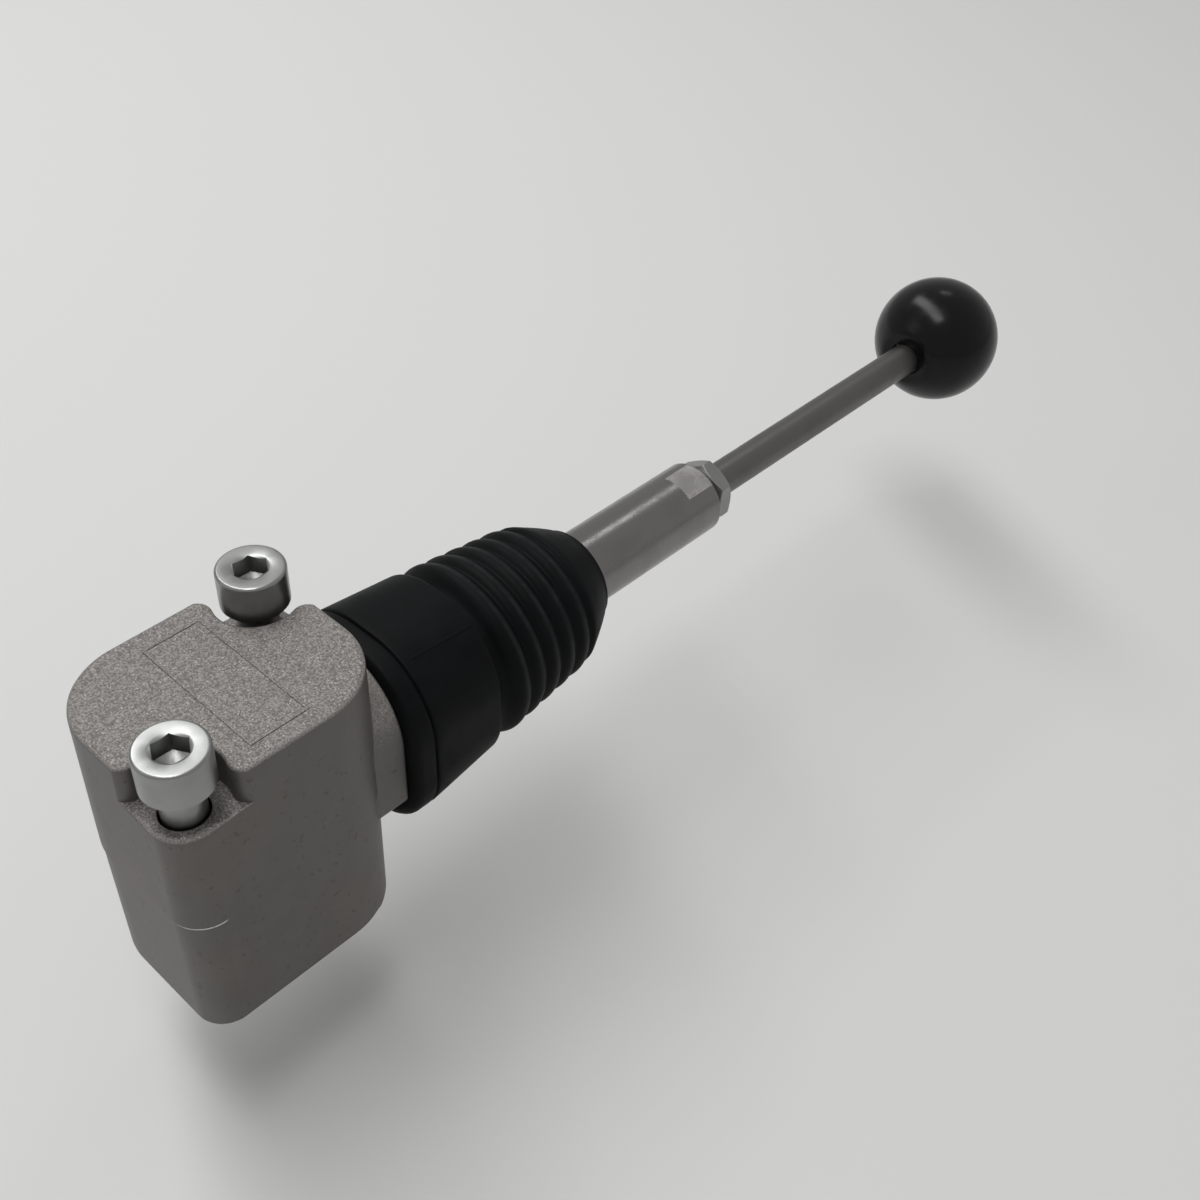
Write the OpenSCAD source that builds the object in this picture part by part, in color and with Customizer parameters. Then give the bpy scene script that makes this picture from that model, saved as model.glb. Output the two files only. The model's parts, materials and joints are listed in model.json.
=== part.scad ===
// Hand lever for one section of a hydraulic directional valve.
// The frame: the origin is on the mounting face, midway between the two cap screws,
// +Z points up the screws and +X points out along the lever. Millimetres.

/* [Housing] */
// Length of the housing at its top face, along the lever
body_l = 48.5; // [46:0.5:60]
// Width of the housing at its top face
body_w = 40; // [38:0.5:50]
// Height of the housing above its mounting face
body_h = 61; // [56:0.5:70]
// Height of the parting line of the casting
parting_h = 30; // [24:0.5:34]
// Draft of each half of the casting, per side
draft = 0.3; // [0.2:0.1:0.8]
// Step in the wall at the parting line
parting_step = 0.2; // [0.1:0.1:0.6]
// Radius of the two corners that hold the screws
screw_corner_r = 6.6; // [6:0.1:7]
// Radius of the two corners without a screw
free_corner_r = 16; // [8:0.5:16]

/* [Cap screws] */
// Distance between the screws along the lever
screw_pitch_x = 35.5; // [34:0.5:36]
// Distance between the screws across the lever
screw_pitch_y = 27; // [26:0.5:28]
// Thread diameter of the cap screws
screw_d = 8; // [6:1:8]
// Length of the cap screws under the head
screw_len = 60; // [56:1:66]
// Diameter of the clearance holes
screw_hole_d = 9; // [8.4:0.1:9]
// Depth of the screw seats below the top face
seat_depth = 8; // [6:0.5:10]
// Radius of the cut-out round each screw head
seat_r = 8; // [7.5:0.1:8.5]
// Radius that rounds the cut-out into the side walls
seat_horn_r = 3; // [2:0.25:4]
// Distance from the screw's tip up to the mounting face, as the screws stand loose
screw_tip_gap = 0; // [0:0.5:2]

/* [Spool end] */
// Diameter of the bore that takes the end of the spool
spool_bore_d = 22; // [20:0.5:24]
// Length of that bore, below the lever's slot
spool_bore_h = 22; // [18:0.5:22.5]
// Diameter of the chamber above it, round the lever's ball
chamber_d = 20.5; // [18:0.5:21]
// Height of the chamber's roof above the mounting face
chamber_top = 50; // [46:0.5:52]
// Inner diameter of the seal ring in the mounting face
seal_inner_d = 25; // [24.5:0.5:25.5]
// Thickness of the seal ring
seal_t = 2.5; // [2:0.1:2.8]
// Depth of the seal's groove
seal_groove_h = 2; // [1.8:0.1:2.2]

/* [Lever seat] */
// Height of the lever's axis above the mounting face
lever_z = 32.5; // [31:0.5:34]
// Drop of the seat's middle below the lever's axis
seat_drop = 1.5; // [0:0.25:1.5]
// How far the boss stands out from the housing
boss_out = 2; // [1:0.25:3]
// Width of the boss
boss_w = 33; // [32:0.5:33.5]
// Height of the boss
boss_h = 31; // [28:0.5:34]
// Radius of the boss's upper corners
boss_r = 15.5; // [10:0.5:15.5]
// Radius of the boss's lower corners
boss_foot_r = 2; // [1:0.5:4]
// How far the neck stands out from the boss
neck_out = 3.5; // [3:0.25:4]
// Width of the neck
neck_w = 23.5; // [23:0.5:24]
// Height of the neck
neck_h = 35; // [34.5:0.5:36]
// Radius of the neck's corners
neck_r = 6; // [4:0.5:7]
// Thickness of the retainer plate
plate_t = 2.5; // [2:0.25:3]
// Rim of the retainer plate beyond the neck
plate_rim = 1.5; // [1:0.25:1.75]
// Width of the plate's window
window_w = 15; // [14:0.5:15]
// Height of the plate's window
window_h = 21; // [20:0.5:22]
// Distance of the plate's screws from the neck's sides
plate_screw_inset = 3.5; // [3.25:0.25:3.75]
// Thread diameter of the plate's screws
plate_screw_d = 3; // [2.5:0.5:3]
// Length of the plate's screws
plate_screw_len = 10; // [8:1:10]

/* [Pivot] */
// Diameter of the pivot pin
pin_d = 6; // [5:0.5:6]
// Length of the pivot pin
pin_len = 21; // [19:0.5:21.5]
// Wall of the bush in the lever's eye
bush_wall = 1; // [0.75:0.25:1.5]
// Radial running clearance of the pin in its bush
run_gap = 0.04; // [0.02:0.01:0.08]
// Thickness of the lever's eye
eye_t = 8; // [7:0.5:8]
// Diameter of the lever's eye
eye_d = 16; // [14:0.5:17]
// Thickness of the thrust washers
washer_t = 0.8; // [0.5:0.1:1]
// Diameter of the thrust washers
washer_d = 14; // [12:0.5:15]
// Side clearance beside each washer
side_gap = 0.1; // [0.05:0.05:0.2]

/* [Lever] */
// Diameter of the ball at the inner end of the lever
tip_d = 9; // [8:0.5:10]
// Diameter of the stem between the eye and the lock nut
stem_d = 12; // [11:0.5:13]
// Diameter of the stud that carries the hub
stud_d = 10; // [8:1:10]
// Depth that the stud enters the hub
stud_in_hub = 16; // [12:1:20]
// Distance from the screws' middle to the near end of the hub
hub_start = 50; // [48:1:54]
// Length of the hub
hub_l = 79; // [70:0.5:90]
// Diameter of the hub
hub_d = 17; // [16:0.5:18]
// Width across the wrench flats
hub_flats = 15; // [14:0.5:15.5]
// Length of the wrench flats
flats_l = 10; // [8:1:14]
// Turn of the wrench flats about the lever's axis
flats_turn = 13; // [0:1:45]
// Chamfer at the far end of the hub
hub_chamfer = 2.25; // [1:0.25:2.5]
// Width across the flats of the lock nut
nut_flats = 17; // [16:0.5:17]
// Thickness of the lock nut
nut_t = 5; // [4:0.5:6]
// Diameter of the rod
rod_d = 8; // [6:0.5:10]
// Length of the rod from the hub to the knob
rod_l = 82; // [60:0.5:120]
// Depth that the rod enters the hub
rod_in_hub = 14; // [10:1:20]
// Width across the flats of the rod's nut
rod_nut_flats = 13; // [13:0.5:17]
// Thickness of the rod's nut
rod_nut_t = 4; // [3:0.5:6]

/* [Knob] */
// Diameter of the ball knob
knob_d = 32; // [25:1:40]
// Diameter of the flat round the rod
knob_flat_d = 14; // [12.5:0.5:16]
// Outer diameter of the threaded insert
insert_d = 11; // [9.5:0.5:12]
// Length of the threaded insert
insert_l = 13; // [10:0.5:16]
// Depth of the knob's mouth, from its flat to the insert
mouth_h = 1.5; // [0.5:0.25:3]
// Clearance of the knob's mouth round the rod
mouth_gap = 0.15; // [0.05:0.05:0.3]

/* [Boot] */
// Thickness of the rubber
boot_wall = 2; // [1.5:0.25:2.25]
// Width of the boot's flange
flange_w = 34.5; // [34:0.25:35]
// Height of the boot's flange
flange_h = 47; // [46:0.25:47.5]
// Radius of the flange's corners
flange_r = 13.5; // [12:0.5:15]
// Length of the flange along the lever
flange_l = 6.75; // [6.5:0.25:7.5]
// Length of the slope on the flange's back
flange_back_l = 3; // [2:0.25:4]
// Depth of the slope on the flange's back
flange_back_h = 1.8; // [1:0.1:2]
// Width of the boot's body at its far edge
cuff_w = 36.4; // [35:0.2:37]
// Height of the boot's body at its far edge
cuff_h = 40.4; // [39:0.2:41]
// Depth of the groove beside the flange
flange_step = 1.2; // [0.8:0.1:1.4]
// Width of that groove
groove_w = 0.8; // [0.6:0.1:1.2]
// Distance from the flange's face to the far edge of the body
cuff_l = 16.5; // [15:0.1:19]
// Number of the bellows' folds
folds = 5; // [4:1:6]
// Distance between the crests of the folds
fold_pitch = 4.75; // [4.4:0.05:5]
// Distance from the body's far edge to the first crest
crest_start = 6.2; // [5.8:0.1:7]
// Radius of the largest crest
crest_r = 18.8; // [18:0.1:19]
// Drop from each crest to the valley beside it
fold_depth = 1.8; // [1.2:0.1:2.2]
// Radius of the broad valley behind the body
valley_r = 16.6; // [15.6:0.1:17]
// Outer radius of the collar at the boot's end
collar_r = 11; // [10.4:0.1:11.5]
// Length of the collar's cone
collar_l = 9.25; // [7:0.25:11]
// Clearance between the collar and the hub
collar_gap = 0.25; // [0.2:0.05:0.4]

/* [Hidden] */
$fn = 96;
eps = 0.02;
side_x = body_l / 2;                         // the housing's side, at its top face
boss_x = side_x + boss_out;                  // end face of the boss
neck_x = boss_x + neck_out;                  // end face of the neck
plate_x = neck_x + plate_t;                  // outer face of the retainer plate
seat_z = lever_z - seat_drop;                // middle of neck, plate and boot base
pivot_x = neck_x - pin_d / 2;                // the pin touches the plate
shelf_z = body_h - seat_depth;               // seat under each screw head
boss_top = shelf_z - 0.5;                    // the boss ends just below those seats
head_d = 1.5 * screw_d + 1;                  // cap screw head
head_h = screw_d;
socket_flats = 0.75 * screw_d;
socket_h = 0.5 * screw_d;
head_z = screw_tip_gap + screw_len;          // underside of the head
eye_half = eye_t / 2;
slot_w = eye_t + 2 * washer_t + 4 * side_gap;
slot_h = eye_d + 3;
nut_x = hub_start - nut_t;
rod_x = hub_start + hub_l;                   // where the rod leaves the hub
knob_x = rod_x + rod_l;                      // flat face of the knob
knob_c = knob_x + sqrt(pow(knob_d, 2) - pow(knob_flat_d, 2)) / 2;
boot_x = boss_x;                             // the boot's base lies on the boss
cuff_z = lever_z - seat_drop / 2;            // middle of the body's far edge
cuff_x = boot_x + flange_l + cuff_l;         // far edge of the boot's body
crest_x = cuff_x + crest_start;                     // first crest
bead_gap = 0.1;                              // rubber beside metal
fit_gap = 0.02;                              // threads and other tight fits, per side

// A rounded outline in the plane across the lever, extruded along X from x0 to x1.
module across(w, h, r, x0, x1, z) {
    translate([x0, 0, z]) rotate([90, 0, 90]) linear_extrude(x1 - x0)
        rounded(w, h, r);
}

// The boss's outline: an arch whose lower corners are nearly square.
module arch() {
    foot_z = boss_top - boss_h;
    for (s = [-1, 1]) {
        translate([s * (boss_w / 2 - boss_r), boss_top - boss_r]) circle(boss_r);
        translate([s * (boss_w / 2 - boss_foot_r), foot_z + boss_foot_r]) circle(boss_foot_r);
    }
    translate([-boss_w / 2, foot_z + boss_foot_r])
        square([boss_w, boss_h - boss_r - boss_foot_r]);
    translate([boss_foot_r - boss_w / 2, foot_z])
        square([boss_w - 2 * boss_foot_r, boss_h - boss_r]);
    translate([boss_r - boss_w / 2, foot_z]) square([boss_w - 2 * boss_r, boss_h]);
}

module rounded(w, h, r) {
    square([w - 2 * r, h], center = true);
    square([w, h - 2 * r], center = true);
    for (x = [-1, 1], y = [-1, 1])
        translate([x * (w / 2 - r), y * (h / 2 - r)]) circle(r);
}

// A round bar along X from x0 to x1 on the lever's axis.
module bar(d, x0, x1, d2 = 0) {
    translate([x0, 0, lever_z]) rotate([0, 90, 0])
        cylinder(d1 = d, d2 = d2 == 0 ? d : d2, h = x1 - x0);
}

// A half of the casting: a block with four round corners whose walls lean in by the
// draft. The corners on one diagonal hold the screws, and the others are broader.
module drafted(l, w, h, lean) {
    function r(x, y) = x * y > 0 ? screw_corner_r : free_corner_r;
    for (x = [-1, 1], y = [-1, 1])
        translate([x * (l / 2 - r(x, y)), y * (w / 2 - r(x, y)), 0])
            cylinder(r1 = r(x, y), r2 = r(x, y) - lean, h = h);
    for (s = [-1, 1]) {
        y0 = -w / 2 + r(s, -1);
        y1 = w / 2 - r(s, 1);
        translate([0, y1, 0]) rotate([90, 0, 0]) linear_extrude(y1 - y0)
            polygon([[0, 0], [s * l / 2, 0], [s * (l / 2 - lean), h], [0, h]]);
        x0 = -l / 2 + r(-1, s);
        x1 = l / 2 - r(1, s);
        translate([x0, 0, 0]) rotate([90, 0, 90]) linear_extrude(x1 - x0)
            polygon([[0, 0], [s * w / 2, 0], [s * (w / 2 - lean), h], [0, h]]);
    }
}

// The open cut-out over one screw seat, with its two horns rounded into the walls.
module seat_cut(h) {
    corner_x = body_l / 2 - screw_pitch_x / 2;
    corner_y = body_w / 2 - screw_pitch_y / 2;
    reach = seat_r + seat_horn_r;
    inset = seat_horn_r - 0.25;
    ax = corner_x - inset;
    ay = -sqrt(reach * reach - ax * ax);
    by = corner_y - inset;
    bx = -sqrt(reach * reach - by * by);
    cylinder(r = seat_r, h = h);
    difference() {
        linear_extrude(h) polygon([[0, 0], [bx, by], [bx, corner_y + 4],
            [corner_x + 4, corner_y + 4], [corner_x + 4, ay], [ax, ay]]);
        for (p = [[ax, ay], [bx, by]])
            translate([p[0], p[1], -1]) cylinder(r = seat_horn_r, h = h + 2);
    }
}

module housing() {
    color("darkgray") difference() {
        union() {
            translate([0, 0, parting_h])
                drafted(body_l + 2 * draft, body_w + 2 * draft, body_h - parting_h, draft);
            translate([0, 0, parting_h]) mirror([0, 0, 1])
                drafted(body_l + 2 * draft - 2 * parting_step,
                        body_w + 2 * draft - 2 * parting_step, parting_h, draft);
            rotate([90, 0, 90]) linear_extrude(boss_x) arch();
            across(neck_w, neck_h, neck_r, 0, neck_x, seat_z);
        }
        for (s = [0, 180]) rotate([0, 0, s]) translate([screw_pitch_x / 2, screw_pitch_y / 2, 0]) {
            translate([0, 0, shelf_z]) seat_cut(seat_depth + 1);
            translate([0, 0, -1]) cylinder(d = screw_hole_d, h = body_h + 2);
        }
        // spool bore, the chamber above it and the seal groove round its mouth
        translate([0, 0, -1]) cylinder(d = spool_bore_d, h = spool_bore_h + 1);
        cylinder(d = chamber_d, h = chamber_top);
        translate([0, 0, chamber_top - eps])
            cylinder(d1 = chamber_d, d2 = chamber_d - 8, h = 2);
        translate([0, 0, -1]) difference() {
            cylinder(d = seal_inner_d + 2 * seal_t + 0.4, h = seal_groove_h + 1);
            translate([0, 0, -1]) cylinder(d = seal_inner_d - 0.2, h = seal_groove_h + 3);
        }
        // slot that the lever swings in, and the open groove that the pin lies in
        translate([0, -slot_w / 2, lever_z - slot_h / 2]) cube([neck_x + 1, slot_w, slot_h]);
        translate([pivot_x, -pin_len / 2 - 0.2, lever_z]) {
            rotate([-90, 0, 0]) cylinder(r = pin_d / 2 + 0.02, h = pin_len + 0.4);
            translate([0, 0, -pin_d / 2 - 0.02])
                cube([pin_d, pin_len + 0.4, pin_d + 0.04]);
        }
        for (p = plate_holes()) translate([plate_x - plate_screw_len - 0.5, p[0], p[1]])
            rotate([0, 90, 0]) cylinder(r = plate_screw_d / 2 + fit_gap, h = plate_screw_len + 5);
    }
}

function plate_holes() = [for (y = [-1, 1], z = [-1, 1])
    [y * (neck_w / 2 - plate_screw_inset), seat_z + z * (neck_h / 2 - plate_screw_inset)]];

module seal_ring() {
    color("dimgray") intersection() {
        translate([0, 0, seal_groove_h / 2]) rotate_extrude()
            translate([(seal_inner_d + seal_t) / 2, 0]) circle(d = seal_t);
        cylinder(d = body_l, h = seal_groove_h);
    }
}

module cap_screw() {
    bevel = 0.05 * head_d;
    difference() {
        rotate_extrude() polygon([[0, 0], [screw_d / 2 - 0.8, 0], [screw_d / 2, 0.8],
            [screw_d / 2, screw_len], [head_d / 2 - 0.3, screw_len],
            [head_d / 2, screw_len + 0.3], [head_d / 2, screw_len + head_h - bevel],
            [head_d / 2 - bevel, screw_len + head_h], [0, screw_len + head_h]]);
        translate([0, 0, screw_len + head_h - socket_h])
            cylinder(d = socket_flats / cos(30), h = socket_h + 1, $fn = 6);
        translate([0, 0, screw_len + head_h - 0.5])
            cylinder(d1 = socket_flats, d2 = socket_flats / cos(30) + 1, h = 0.5 + eps);
    }
}

module cap_screw_near() {
    color("silver") translate([-screw_pitch_x / 2, -screw_pitch_y / 2, screw_tip_gap]) cap_screw();
}

module cap_screw_far() {
    color("silver") translate([screw_pitch_x / 2, screw_pitch_y / 2, screw_tip_gap]) cap_screw();
}

module retainer_plate() {
    color("gray") difference() {
        across(neck_w + 2 * plate_rim, neck_h + 2 * plate_rim, neck_r + plate_rim,
               neck_x, plate_x, seat_z);
        across(window_w, window_h, 5, neck_x - 1, plate_x + 1, lever_z);
        for (p = plate_holes()) translate([neck_x - 1, p[0], p[1]]) rotate([0, 90, 0]) {
            cylinder(d = plate_screw_d + 0.4, h = plate_t + 2);
            translate([0, 0, plate_t + 1 - plate_screw_d / 2])
                cylinder(d1 = plate_screw_d, d2 = 2 * plate_screw_d, h = plate_screw_d / 2 + eps);
        }
    }
}

module plate_screw(i) {
    color("gray") translate([plate_x, plate_holes()[i][0], plate_holes()[i][1]]) rotate([0, -90, 0])
        difference() {
            rotate_extrude() polygon([[0, 0], [plate_screw_d - 0.1, 0],
                [plate_screw_d / 2, plate_screw_d / 2 - 0.1], [plate_screw_d / 2, plate_screw_len - 0.5],
                [plate_screw_d / 2 - 0.5, plate_screw_len], [0, plate_screw_len]]);
            translate([0, 0, -1]) cylinder(d = 2 / 3 * plate_screw_d / cos(30), h = 2.2, $fn = 6);
        }
}
module plate_screw_a() { plate_screw(0); }
module plate_screw_b() { plate_screw(1); }
module plate_screw_c() { plate_screw(2); }
module plate_screw_d() { plate_screw(3); }

module pivot_pin() {
    color("silver") translate([pivot_x, -pin_len / 2, lever_z]) rotate([-90, 0, 0]) {
        translate([0, 0, 0.5]) cylinder(d = pin_d, h = pin_len - 1);
        cylinder(d1 = pin_d - 1, d2 = pin_d, h = 0.5);
        translate([0, 0, pin_len - 0.5]) cylinder(d1 = pin_d, d2 = pin_d - 1, h = 0.5);
    }
}

module washer(side) {
    color("gainsboro") translate([pivot_x, side * (eye_half + side_gap + washer_t / 2), lever_z])
        rotate([90, 0, 0]) difference() {
            cylinder(d = washer_d, h = washer_t, center = true);
            cylinder(r = pin_d / 2 + run_gap, h = washer_t + 2, center = true);
        }
}
module washer_near() { washer(-1); }
module washer_far() { washer(1); }

// Bell crank: the eye on the pin, the arm with the ball that moves the spool, and the
// stem whose stud carries the hub.
module lever_arm() {
    stud_end = hub_start + stud_in_hub;
    throat = 2 / 3 * tip_d;                  // where the arm meets the ball
    color("gray") difference() {
        union() {
            translate([pivot_x, 0, lever_z]) rotate([90, 0, 0])
                cylinder(d = eye_d, h = eye_t, center = true);
            translate([0, eye_half - 0.5, lever_z]) rotate([90, 0, 0]) linear_extrude(eye_t - 1)
                polygon([[pivot_x, eye_d / 2 - 1], [tip_d, 0.38 * tip_d], [throat, 0.31 * tip_d],
                         [throat, -0.31 * tip_d], [tip_d, -0.38 * tip_d], [pivot_x, 1 - eye_d / 2],
                         [plate_x + stem_d / 2, 0.5 - stem_d / 2],
                         [plate_x + stem_d / 2, stem_d / 2 - 0.5]]);
            bar(0.62 * tip_d, 0, tip_d + 1);
            translate([0, 0, lever_z]) sphere(d = tip_d);
            bar(stem_d, plate_x + 3, nut_x - 2.5);
            bar(stem_d, nut_x - 2.5, nut_x - 1.5, stud_d);
            bar(stud_d, nut_x - 1.5, stud_end - 1);
            bar(stud_d, stud_end - 1, stud_end, stud_d - 2);
        }
        translate([pivot_x, 0, lever_z]) rotate([90, 0, 0])
            cylinder(r = pin_d / 2 + run_gap + bush_wall, h = eye_t + 2, center = true);
    }
}

module eye_bush() {
    color("darkgoldenrod") translate([pivot_x, 0, lever_z]) rotate([90, 0, 0]) difference() {
        cylinder(r = pin_d / 2 + run_gap + bush_wall, h = eye_t, center = true);
        cylinder(r = pin_d / 2 + run_gap, h = eye_t + 2, center = true);
    }
}

module lock_nut() {
    corner = nut_flats / cos(30);
    color("gray") difference() {
        intersection() {
            translate([nut_x, 0, lever_z]) rotate([0, 90, 0]) cylinder(d = corner, h = nut_t, $fn = 6);
            union() {
                bar(nut_flats - 0.5, nut_x, nut_x + 1.2, nut_flats + 3.5);
                bar(nut_flats + 3.5, nut_x + 1.2, nut_x + nut_t);
            }
        }
        bar(stud_d + 2 * fit_gap, nut_x - 1, nut_x + nut_t + 1);
    }
}

module hub() {
    color("silver") difference() {
        union() {
            bar(hub_d - 2, hub_start, hub_start + 1, hub_d);
            bar(hub_d, hub_start + 1, rod_x - hub_chamfer);
            bar(hub_d, rod_x - hub_chamfer, rod_x, hub_d - 2 * hub_chamfer);
        }
        for (s = [0, 180]) translate([rod_x - flats_l, 0, lever_z]) rotate([flats_turn + s, 0, 0])
            translate([0, -hub_d, hub_flats / 2]) cube([flats_l + 1, 2 * hub_d, hub_d]);
        bar(stud_d + 2 * fit_gap, hub_start - 1, hub_start + stud_in_hub + 1);
        bar(rod_d + 2 * fit_gap, rod_x - rod_in_hub - 1, rod_x + 1);
    }
}

module rod_nut() {
    corner = rod_nut_flats / cos(30);
    end_r = 0.47 * rod_nut_flats;
    wide_r = corner / 2 + 0.5;
    rise = (wide_r - end_r) * tan(30);
    color("silver") difference() {
        translate([rod_x, 0, lever_z]) rotate([0, 90, 0]) intersection() {
            cylinder(d = corner, h = rod_nut_t, $fn = 6);
            rotate_extrude() polygon([[0, 0], [end_r, 0], [wide_r, rise],
                [wide_r, rod_nut_t - rise], [end_r, rod_nut_t], [0, rod_nut_t]]);
        }
        bar(rod_d + 2 * fit_gap, rod_x - 1, rod_x + rod_nut_t + 1);
    }
}

module rod() {
    rod_end = knob_x + mouth_h + insert_l - 2;
    color("silver") {
        bar(rod_d - 1.5, rod_x - rod_in_hub, rod_x - rod_in_hub + 0.75, rod_d);
        bar(rod_d, rod_x - rod_in_hub + 0.75, rod_end - 0.75);
        bar(rod_d, rod_end - 0.75, rod_end, rod_d - 1.5);
    }
}

module knob() {
    flat_h = sqrt(pow(knob_d, 2) - pow(knob_flat_d, 2)) / 2;
    color([0.08, 0.08, 0.08]) difference() {
        translate([knob_c, 0, lever_z]) rotate([0, 90, 0]) rotate_extrude() intersection() {
            circle(d = knob_d);
            translate([0, -flat_h]) square([knob_d, knob_d]);
        }
        bar(rod_d + 2 * mouth_gap, knob_x - 1, knob_x + mouth_h + eps);
        bar(insert_d, knob_x + mouth_h, knob_x + mouth_h + insert_l);
    }
}

module knob_insert() {
    color("goldenrod") difference() {
        bar(insert_d - 2 * fit_gap, knob_x + mouth_h, knob_x + mouth_h + insert_l);
        bar(rod_d + 2 * fit_gap, knob_x, knob_x + mouth_h + insert_l - 1.5);
    }
}

// Radius of the folded wall, t folds on from the first crest.
function fold_r(t) = crest_r - 0.1 * t * t - fold_depth * (1 - cos(360 * t)) / 2;
// The folded wall's profile, with its radius taken in by the given amount.
function fold_line(inward) = [for (i = [-4 : 8 * folds - 4])
    [crest_x + i / 8 * fold_pitch, fold_r(i / 8) - inward]];

module boot() {
    lip_x = boot_x + flange_l;
    thin = boot_wall * 0.8;
    last = fold_line(0)[8 * folds];
    collar_x = last[0] + 1.2;
    end_x = collar_x + collar_l;
    bore_r = hub_d / 2 + collar_gap;
    color([0.12, 0.12, 0.12]) union() {
        difference() {
            union() {
                hull() {
                    across(flange_w - 2 * flange_back_h, flange_h - 2 * flange_back_h,
                           flange_r - flange_back_h, boot_x, boot_x + 0.1, seat_z, $fn = 48);
                    across(flange_w, flange_h, flange_r, boot_x + flange_back_l, lip_x, seat_z,
                           $fn = 48);
                }
                across(flange_w - 2 * flange_step, flange_h - 2 * flange_step,
                       flange_r - flange_step, lip_x - 1, lip_x + groove_w + 1, seat_z);
                hull() {
                    across(flange_w - 0.6, flange_h - 0.6, flange_r, lip_x + groove_w,
                           lip_x + groove_w + 0.1, seat_z, $fn = 48);
                    across(cuff_w, cuff_h, cuff_w / 2 - 1, cuff_x - 0.1, cuff_x, cuff_z, $fn = 48);
                }
            }
            across(neck_w + 2 * bead_gap, neck_h + 2 * bead_gap, neck_r + bead_gap,
                   boot_x - 1, neck_x + 1, seat_z);
            across(neck_w + 2 * plate_rim + 2 * bead_gap, neck_h + 2 * plate_rim + 2 * bead_gap,
                   neck_r + plate_rim + bead_gap, neck_x - bead_gap, plate_x + bead_gap, seat_z);
            hull() {
                across(flange_w - 2 * flange_step - 2 * boot_wall,
                       flange_h - 2 * flange_step - 2 * boot_wall,
                       flange_r - flange_step - boot_wall, plate_x, plate_x + 0.5, seat_z, $fn = 32);
                across(cuff_w - 2 * boot_wall, cuff_h - 2 * boot_wall, cuff_w / 2 - 1 - boot_wall,
                       cuff_x - boot_wall - 0.5, cuff_x - boot_wall, cuff_z, $fn = 48);
            }
            bar(2 * (valley_r - thin), cuff_x - boot_wall - 1, cuff_x + 1);
        }
        translate([0, 0, lever_z]) rotate([0, 90, 0]) rotate_extrude() mirror([1, -1])
            polygon(concat([[cuff_x - boot_wall / 2, valley_r - thin], [cuff_x - boot_wall / 2, valley_r],
                [cuff_x + 2, valley_r]], fold_line(0),
                [[collar_x, last[1] + 0.7], [end_x - 0.6, collar_r], [end_x, collar_r - 0.6],
                 [end_x, bore_r], [collar_x + 3, bore_r], [collar_x, last[1] - thin]],
                [for (i = [8 * folds : -1 : 0]) fold_line(thin)[i]],
                [[cuff_x + 2, valley_r - thin]]));
    }
}

housing();
seal_ring();
cap_screw_near();
cap_screw_far();
retainer_plate();
plate_screw_a();
plate_screw_b();
plate_screw_c();
plate_screw_d();
pivot_pin();
washer_near();
washer_far();
boot();
lever_arm();
eye_bush();
lock_nut();
hub();
rod();
rod_nut();
knob();
knob_insert();
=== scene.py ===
"""Looks of a hydraulic control lever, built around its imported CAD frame.

A cast lever box holds two cap screws, which stand loose in their holes.
A rubber boot joins it to a steel hub, a rod and a ball knob, which swing on a pin.
"""

import json
import logging
import math
from dataclasses import dataclass, field
from enum import Enum
from typing import Callable, Iterable, Sequence

import bmesh
import bpy
from mathutils import Matrix, Vector

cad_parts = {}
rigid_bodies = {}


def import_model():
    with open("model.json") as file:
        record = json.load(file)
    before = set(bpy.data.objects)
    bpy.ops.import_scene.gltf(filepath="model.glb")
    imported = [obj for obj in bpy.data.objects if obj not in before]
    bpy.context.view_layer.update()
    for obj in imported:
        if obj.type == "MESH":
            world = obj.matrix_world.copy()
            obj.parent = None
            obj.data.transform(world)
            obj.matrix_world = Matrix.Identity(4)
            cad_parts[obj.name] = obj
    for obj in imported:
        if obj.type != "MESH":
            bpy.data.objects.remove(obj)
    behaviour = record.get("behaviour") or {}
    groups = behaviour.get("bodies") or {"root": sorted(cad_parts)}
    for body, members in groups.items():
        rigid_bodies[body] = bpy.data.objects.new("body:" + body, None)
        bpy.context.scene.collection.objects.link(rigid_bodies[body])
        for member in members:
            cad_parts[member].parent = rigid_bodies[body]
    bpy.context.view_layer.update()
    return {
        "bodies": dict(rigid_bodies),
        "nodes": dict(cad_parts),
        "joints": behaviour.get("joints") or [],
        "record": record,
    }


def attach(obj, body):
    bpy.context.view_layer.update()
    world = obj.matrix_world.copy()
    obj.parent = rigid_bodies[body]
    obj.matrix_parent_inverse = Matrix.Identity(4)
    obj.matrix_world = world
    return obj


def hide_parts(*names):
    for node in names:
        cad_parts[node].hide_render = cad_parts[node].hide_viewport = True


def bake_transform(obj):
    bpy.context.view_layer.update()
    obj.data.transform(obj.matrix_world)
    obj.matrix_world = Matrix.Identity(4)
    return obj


MM = 0.001
# Points nearer than this are one, a face this near a height lies at it, and an edge that
# bends more than this is a corner and no step of a round wall.
SAME_MM = 1e-4
LEVEL_MM = 0.02
CORNER = math.radians(30)
log = logging.getLogger("control_lever")

Colour = tuple[float, float, float]
Triple = tuple[float, float, float]
Socket = bpy.types.NodeSocket
Mesh = bmesh.types.BMesh
Edge = bmesh.types.BMEdge
Vert = bmesh.types.BMVert


class Slot(Enum):
    """Material slots of the record."""

    CASTING = "cast_aluminium"
    ZINC = "zinc_screw"
    PLAIN = "plain_steel"
    HARDENED = "hardened_steel"
    SATIN = "satin_steel"
    BOOT = "boot_rubber"
    SEAL = "seal_rubber"
    BRONZE = "bronze"
    PHENOLIC = "phenolic_black"
    BRASS = "insert_brass"


# --- Material graphs -------------------------------------------------------------------


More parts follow.
